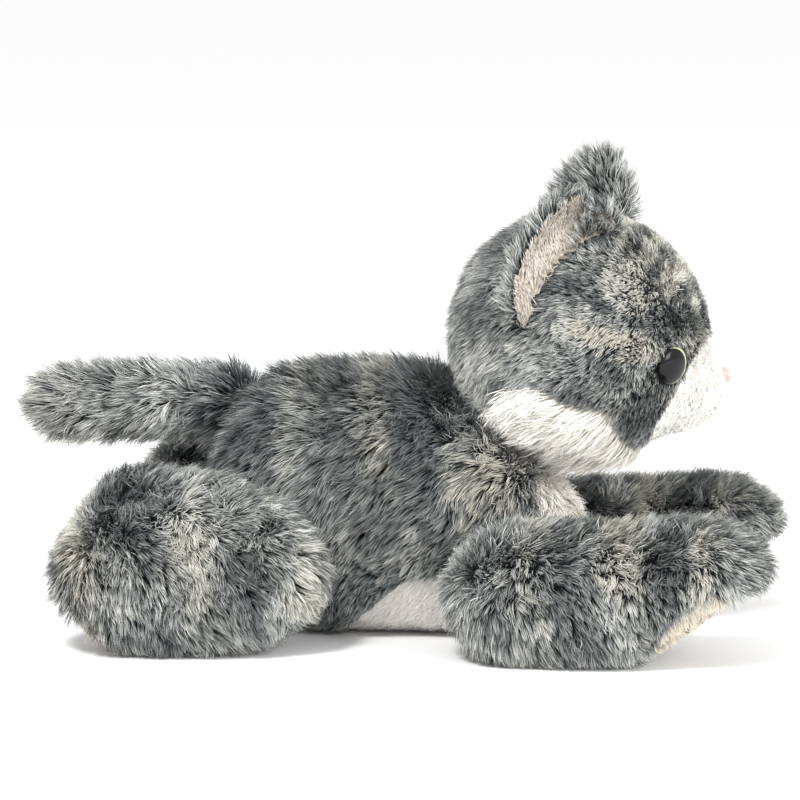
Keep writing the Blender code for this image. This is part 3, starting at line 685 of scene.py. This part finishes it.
def grow(body, skin, cover, rules, comb, part="", length_scale=1.0, clear=(), recast=None):
    """Grows the pile of every panel of a skin.

    rules gives each panel's kind of pile, and recast may change it from place to place. A kind with too many
    strands for one piece is split along the cat."""
    kinds = sorted(set(rules.values()))
    rng = random_for(skin.name)
    densest = max(PILES[kind].density for kind in kinds)
    roots, normals = sample_roots(skin, densest, rng)
    kind_of = np.array([rules[node] for node in cover.nodes])[cover.nearest(roots)]
    if recast:
        kind_of = recast(roots, kind_of)
    keep = np.ones(len(roots), dtype=bool)
    for centre, radius in clear:
        keep &= np.linalg.norm(roots - np.array(centre), axis=1) > radius
    short = pressed(roots, normals, cover.all_nodes)
    keep &= ~short | (rng.random(len(roots)) < PRESSED)
    reach = np.where(short, PRESSED, 1.0)
    for kind in kinds:
        pile = PILES[kind]
        thinned = rng.random(len(roots)) < pile.density / densest
        chosen = np.flatnonzero(keep & thinned & (kind_of == kind))
        chosen = chosen[np.argsort(roots[chosen, 0])]
        count = max(math.ceil(len(chosen) / MOST_STRANDS), 1)
        for index, piece in enumerate(np.array_split(chosen, count)):
            name = f"{skin.name}_{kind}_pile_{index + 1}"
            length = reach[piece]
            if pile.slot == "tabby_pile":
                length = length * length_scale * pile_stretch(part, roots[piece])
            grow_piece(name, roots[piece], normals[piece], pile, kind, comb, part, length, body)


def grow_piece(name, roots, normals, pile, kind, comb, part, length_scale, body):
    rng = random_for(name)
    area = len(roots) / pile.density * CM2
    length = pile.length * length_scale * np.clip(rng.normal(1.0, LENGTH_SPREAD, len(roots)), 0.4, 1.5)
    points, lead = lay_strands(roots, normals, comb(roots, normals), length, pile, area, rng)
    width = pile.width * rng.uniform(0.7, 1.25, len(roots))
    if pile.slot == "tabby_pile":
        values = coat(roots, part, lead, rng)
    else:
        speckle = 0.6 + 0.4 * noise(roots, 2 * MM, 41) + rng.normal(0.0, 0.2, len(roots))
        values = {"light": np.clip(speckle, 0.0, 1.0)}
    piece = strand_mesh(name, points, normals, width, values, rng)
    piece.data.materials.append(materials[pile.look])
    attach(piece, body)


def dress(skin, cover, rules):
    """Gives a skin the backing cloth of the panel that each face belongs to."""
    mesh = skin.data
    centres = np.empty(len(mesh.polygons) * 3)
    mesh.polygons.foreach_get("center", centres)
    owner = cover.nearest(centres.reshape(-1, 3))
    names = sorted({PILES[rules[node]].backing for node in cover.nodes})
    for name in names:
        mesh.materials.append(materials[name])
    slot_of = np.array([names.index(PILES[rules[node]].backing) for node in cover.nodes])
    mesh.polygons.foreach_set("material_index", slot_of[owner].astype(np.int32))


def constant_comb(*direction):
    """A comb that lays the pile the same way everywhere, as far as the skin lets it."""
    fixed = np.array(direction, dtype=float)

    def comb(roots, normals):
        return fixed - normals * np.sum(normals * fixed, axis=1, keepdims=True)

    return comb


# ---------------------------------------------------------------- parts of the cat

# How long the tabby pile of each part is, as a share of its usual length
LENGTH_SCALE = {"torso": 1.2, "head": 1.0, "foreleg": 0.95, "hind_leg": 0.95, "tail": 1.15, "ear": 0.8}
# How far the spine that the rays are cast from stays inside the ends of each part
SPINE_END = {"torso": 26 * MM, "foreleg": 19 * MM, "hind_leg": 19 * MM, "tail": 7 * MM}


def finish_form(name, nodes, backing, spine, rules, comb, part, clear=()):
    """The stuffed skin and the pile of one body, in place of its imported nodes."""
    cover = Cover(nodes, backing)
    skin = loft(name, cover, *spine)
    dress(skin, cover, rules)
    grow(name, skin, cover, rules, comb, part, LENGTH_SCALE[part], clear)
    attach(skin, name)
    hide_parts(*nodes, *backing)


def middle(*nodes):
    """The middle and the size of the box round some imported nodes."""
    lows, highs = zip(*(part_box(node) for node in nodes))
    low = Vector([min(c[k] for c in lows) for k in range(3)])
    high = Vector([max(c[k] for c in highs) for k in range(3)])
    return (low + high) / 2, high - low


def make_torso():
    nodes = ["torso_cover_left", "torso_cover_right", "belly_panel", "chest_bib"]
    rules = dict.fromkeys(nodes[:2], "tabby") | {"belly_panel": "belly", "chest_bib": "bib"}
    centre, size = middle(*nodes)
    reach = size.x / 2 - SPINE_END["torso"]
    spine = (centre - Vector((reach, 0, 0)), centre + Vector((reach, 0, 4 * MM)))
    comb = constant_comb(-0.7, 0.0, -0.8)
    backing = ["torso_stuffing", "pellet_pouch"]
    finish_form("torso", nodes, backing, spine, rules, comb, "torso")


def head_comb(roots, normals):
    """Pile runs back from the nose, and down the back of the head."""
    centre, _ = middle("head_cover_left", "head_cover_right")
    lie = np.tile(np.array([-0.8, 0.0, -0.35]), (len(roots), 1))
    lie[:, 2] -= 0.5 * smooth(0.0, -0.02, roots[:, 0] - centre.x)
    return lie


def make_head():
    covers = ["head_cover_left", "head_cover_right", "crown_gusset"]
    cheeks = ["cheek_panel_left", "cheek_panel_right"]
    nodes = [*covers, *cheeks, "muzzle_panel"]
    rules = dict.fromkeys(covers, "face") | dict.fromkeys(cheeks, "cheek") | {"muzzle_panel": "muzzle"}
    centre, _ = middle("head_stuffing")
    clear = [(eye_place(word)[0], EYE_CLEAR) for word, _ in SIDES]
    spine = (centre, centre)
    finish_form("head", nodes, ["head_stuffing"], spine, rules, head_comb, "head", clear)


def leg_comb(roots, normals):
    """Pile runs down a leg and forwards, and lies level along its top, over the gap beside the torso."""
    lie = np.tile(np.array([0.5, 0.0, -0.85]), (len(roots), 1))
    lie[:, 2] += 0.8 * smooth(18 * MM, 48 * MM, roots[:, 2])
    return lie


def make_legs():
    for kind in ("foreleg", "hind_leg"):
        for word, _ in SIDES:
            panels = [f"{kind}_{part}_panel_{word}" for part in ("outer", "inner")]
            nodes = [*panels, f"{kind}_sole_{word}"]
            rules = dict.fromkeys(panels, "tabby") | {nodes[2]: "sole"}
            centre, size = middle(*nodes)
            reach = size.x / 2 - SPINE_END[kind]
            spine = (centre - Vector((reach, 0, 2 * MM)), centre + Vector((reach, 0, 2 * MM)))
            backing = [f"{kind}_stuffing_{word}"]
            finish_form(f"{kind}_{word}", nodes, backing, spine, rules, leg_comb, kind)


def tail_comb(roots, normals):
    return np.tile(np.array([-1.0, 0.0, -0.1]), (len(roots), 1))


def make_tail():
    nodes = ["tail_cover_left", "tail_cover_right"]
    rules = dict.fromkeys(nodes, "tabby")
    centre, size = middle(*nodes)
    reach = size.x / 2 - SPINE_END["tail"]
    spine = (centre - Vector((reach, 0, 0.6 * MM)), centre + Vector((reach, 0, 0)))
    backing = ["tail_stuffing", "tail_root_filling"]
    finish_form("tail", nodes, backing, spine, rules, tail_comb, "tail")


def ear_skin(word):
    """The two sewn layers of an ear as one smooth flap."""
    verts, faces = [], []
    for node in (f"ear_outer_{word}", f"ear_inner_{word}"):
        co, tris = node_arrays(node)
        faces.extend((tris + len(verts)).tolist())
        verts.extend(co.tolist())
    mesh = bpy.data.meshes.new(f"ear_{word}")
    mesh.from_pydata(verts, [], faces)
    skin = bpy.data.objects.new(f"ear_{word}", mesh)
    bpy.context.scene.collection.objects.link(skin)
    remesh = skin.modifiers.new("remesh", "REMESH")
    remesh.mode = "VOXEL"
    remesh.voxel_size = EAR_VOXEL
    relax = skin.modifiers.new("relax", "SMOOTH")
    relax.iterations = 6
    apply_modifiers(skin)
    skin.data.shade_smooth()
    return skin


def apply_modifiers(item):
    """Makes what the modifiers give into the item's own mesh."""
    bpy.context.view_layer.update()
    graph = bpy.context.evaluated_depsgraph_get()
    mesh = bpy.data.meshes.new_from_object(item.evaluated_get(graph))
    item.modifiers.clear()
    item.data = mesh


def furry_ear_front(roots, kinds):
    """Long pile hides the front half of the inner ear, so that a sloping strip of short pile shows."""
    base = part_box("ear_inner_right")[0]
    edge = base.x + INNER_STRIP + INNER_SLOPE * (roots[:, 2] - base.z)
    return np.where(roots[:, 0] > edge, "tabby", kinds)


def make_ears():
    for word, side in SIDES:
        nodes = [f"ear_outer_{word}", f"ear_inner_{word}"]
        cover = Cover(nodes)
        skin = ear_skin(word)
        rules = {nodes[0]: "tabby", nodes[1]: "inner_ear"}
        dress(skin, cover, rules)
        body = f"ear_{word}"
        comb = constant_comb(-0.2, 0.3 * side, 1.0)
        grow(body, skin, cover, rules, comb, length_scale=LENGTH_SCALE["ear"], recast=furry_ear_front)
        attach(skin, body)
        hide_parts(*nodes)


# ---------------------------------------------------------------- eyes and nose


def eye_place(word):
    """The middle of an eye's flat back, the way it looks and its radius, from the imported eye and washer."""
    eye, _ = node_arrays(f"eye_{word}")
    washer, _ = node_arrays(f"eye_washer_{word}")
    start = washer.mean(axis=0)
    looks = unit(eye.mean(axis=0) - start)
    along = (eye - start) @ looks
    out = np.linalg.norm((eye - start) - along[:, None] * looks, axis=1)
    rim = out > out.max() * 0.98
    base = start + looks * along[rim].min()
    return Vector(base), Vector(looks), float(out.max())


def eye_material():
    """Black upright pupil on a pale yellow-green iris, painted on a dome under a clear glossy coat."""
    m = Nodes("eye_plastic")
    spot = m.add("ShaderNodeUVMap", uv_map="Face").outputs[0]
    split = m.add("ShaderNodeSeparateXYZ")
    m.put(split.inputs[0], spot)
    forward, upward = split.outputs[0], split.outputs[1]
    squares = m.math("ADD", m.math("MULTIPLY", forward, forward), m.math("MULTIPLY", upward, upward))
    radial = m.math("SQRT", squares)
    wide = m.math("DIVIDE", m.math("ADD", forward, PUPIL_SHIFT), PUPIL[0])
    tall = m.math("DIVIDE", upward, PUPIL[1])
    oval = m.math("ADD", m.math("MULTIPLY", wide, wide), m.math("MULTIPLY", tall, tall))
    pupil = m.math("LESS_THAN", oval, 1.0)
    iris = m.ramp(
        radial,
        [
            (0.55, (0.36, 0.40, 0.17)),
            (0.80, (0.46, 0.49, 0.26)),
            (0.93, (0.52, 0.53, 0.32)),
            (0.99, (0.20, 0.20, 0.13)),
        ],
    )
    streaks = m.math("MULTIPLY", m.noise(spot, 14.0, 3.0), 0.35)
    streaked = m.mix(streaks, iris, (0.32, 0.37, 0.15))
    m.put(m.shader.inputs["Base Color"], m.mix(pupil, streaked, (0.004, 0.004, 0.005)))
    m.set(roughness=0.3, specular=0.05, coat=0.45, coat_roughness=0.02, ior=1.5)
    return m.material


def dome_mesh(name, base, looks, radius):
    """A flat-backed dome, mapped from the front: forwards along the cat and upwards, each from -1 to 1."""
    height = radius * DOME_HEIGHT
    across = Vector((0, 0, 1)).cross(looks).normalized()
    upward = looks.cross(across)
    facing = math.copysign(1.0, across.x)
    verts, faces, flat = [], [], []
    for ring in range(DOME_RINGS + 1):
        polar = math.pi / 2 * ring / DOME_RINGS
        reach = math.cos(polar)
        for k in range(DOME_SEGMENTS):
            angle = 2 * math.pi * k / DOME_SEGMENTS
            spread = across * math.cos(angle) + upward * math.sin(angle)
            verts.append(base + spread * radius * reach + looks * (height * math.sin(polar)))
            flat.append((facing * math.cos(angle) * reach, math.sin(angle) * reach))
    for ring in range(DOME_RINGS):
        for k in range(DOME_SEGMENTS):
            after = (k + 1) % DOME_SEGMENTS
            a, b = ring * DOME_SEGMENTS, (ring + 1) * DOME_SEGMENTS
            faces.append((a + k, a + after, b + after, b + k))
    faces.append(tuple(reversed(range(DOME_SEGMENTS))))
    mesh = bpy.data.meshes.new(name)
    mesh.from_pydata(verts, [], faces)
    layer = mesh.uv_layers.new(name="Face")
    for loop in mesh.loops:
        layer.uv[loop.index].vector = flat[loop.vertex_index]
    mesh.shade_smooth()
    return mesh


def make_eyes():
    material = eye_material()
    for word, _ in SIDES:
        mesh = dome_mesh(f"eye_dome_{word}", *eye_place(word))
        mesh.materials.append(material)
        dome = bpy.data.objects.new(mesh.name, mesh)
        bpy.context.scene.collection.objects.link(dome)
        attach(dome, "head")
        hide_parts(f"eye_{word}")


def make_nose():
    cover = Cover(["nose_patch"])
    centre, _ = middle("nose_patch")
    skin = loft("nose", cover, centre, centre, rows=24, columns=32, inset=NOSE_INSET)
    rules = {"nose_patch": "nose"}
    dress(skin, cover, rules)
    grow("head", skin, cover, rules, constant_comb(0.0, 0.0, -1.0))
    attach(skin, "head")
    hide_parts("nose_patch")


# ---------------------------------------------------------------- inner plastics and studio


def finish_hidden():
    """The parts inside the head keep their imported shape, and get a moulded plastic or fibre surface."""
    plastic = Nodes("washer_plastic")
    spots = plastic.noise(plastic.add("ShaderNodeTexCoord").outputs["Object"], 900.0)
    mottled = plastic.ramp(spots, [(0.3, (0.72, 0.72, 0.70)), (0.7, (0.8, 0.8, 0.78))])
    plastic.put(plastic.shader.inputs["Base Color"], mottled)
    plastic.set(roughness=0.45)
    fibre = backing_material("fibre_filling", (0.85, 0.85, 0.84), (0.70, 0.70, 0.69))
    washers = dict.fromkeys(("eye_washer_left", "eye_washer_right"), plastic.material)
    for node, material in (washers | {"neck_filling": fibre}).items():
        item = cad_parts[node]
        item.data.materials.clear()
        item.data.materials.append(material)


def make_studio():
    floor_mesh = bpy.data.meshes.new("floor")
    corners = [(x * FLOOR_SPAN, y * FLOOR_SPAN, 0) for x, y in ((-1, -1), (1, -1), (1, 1), (-1, 1))]
    floor_mesh.from_pydata(corners, [], [(0, 1, 2, 3)])
    floor = bpy.data.objects.new("floor", floor_mesh)
    bpy.context.scene.collection.objects.link(floor)
    paper = Nodes("floor_paper")
    paper.shader.inputs["Base Color"].default_value = (0.97, 0.97, 0.97, 1.0)
    paper.set(roughness=0.9, specular=0.0)
    floor_mesh.materials.append(paper.material)
    world = bpy.data.worlds.new("studio")
    world.use_nodes = True
    sky = world.node_tree.nodes["Background"]
    sky.inputs["Color"].default_value = (1.0, 1.0, 1.0, 1.0)
    sky.inputs["Strength"].default_value = 1.0
    bpy.context.scene.world = world
    add_light(*KEY_LIGHT)
    add_light(*FILL_LIGHT)
    bpy.context.scene.view_settings.view_transform = "Standard"


def add_light(name, place, size, power):
    lamp = bpy.data.lights.new(name, "AREA")
    lamp.size = size
    lamp.energy = power
    item = bpy.data.objects.new(name, lamp)
    item.location = place
    aim = Vector((0.0, 0.0, 0.05)) - Vector(place)
    item.rotation_euler = aim.to_track_quat("-Z", "Y").to_euler()
    bpy.context.scene.collection.objects.link(item)


def make_camera():
    """A long lens at the angle of the photo."""
    target = (cad_low + cad_high) / 2
    target.z = AIM_HEIGHT
    level = math.cos(VIEW_ELEVATION)
    across = Vector((math.sin(VIEW_AZIMUTH), -math.cos(VIEW_AZIMUTH), 0.0))
    way = across * level + Vector((0.0, 0.0, math.sin(VIEW_ELEVATION)))
    data = bpy.data.cameras.new("camera")
    data.sensor_width = SENSOR_WIDTH
    data.lens = SENSOR_WIDTH * VIEW_DISTANCE / VIEW_WIDTH
    data.clip_start = 0.01
    camera = bpy.data.objects.new("camera", data)
    camera.location = target + way * VIEW_DISTANCE
    camera.rotation_euler = (-way).to_track_quat("-Z", "Y").to_euler()
    bpy.context.scene.collection.objects.link(camera)
    bpy.context.scene.camera = camera


make_camera()
materials = make_materials()
make_torso()
make_head()
make_legs()
make_tail()
make_ears()
make_eyes()
make_nose()
finish_hidden()
make_studio()
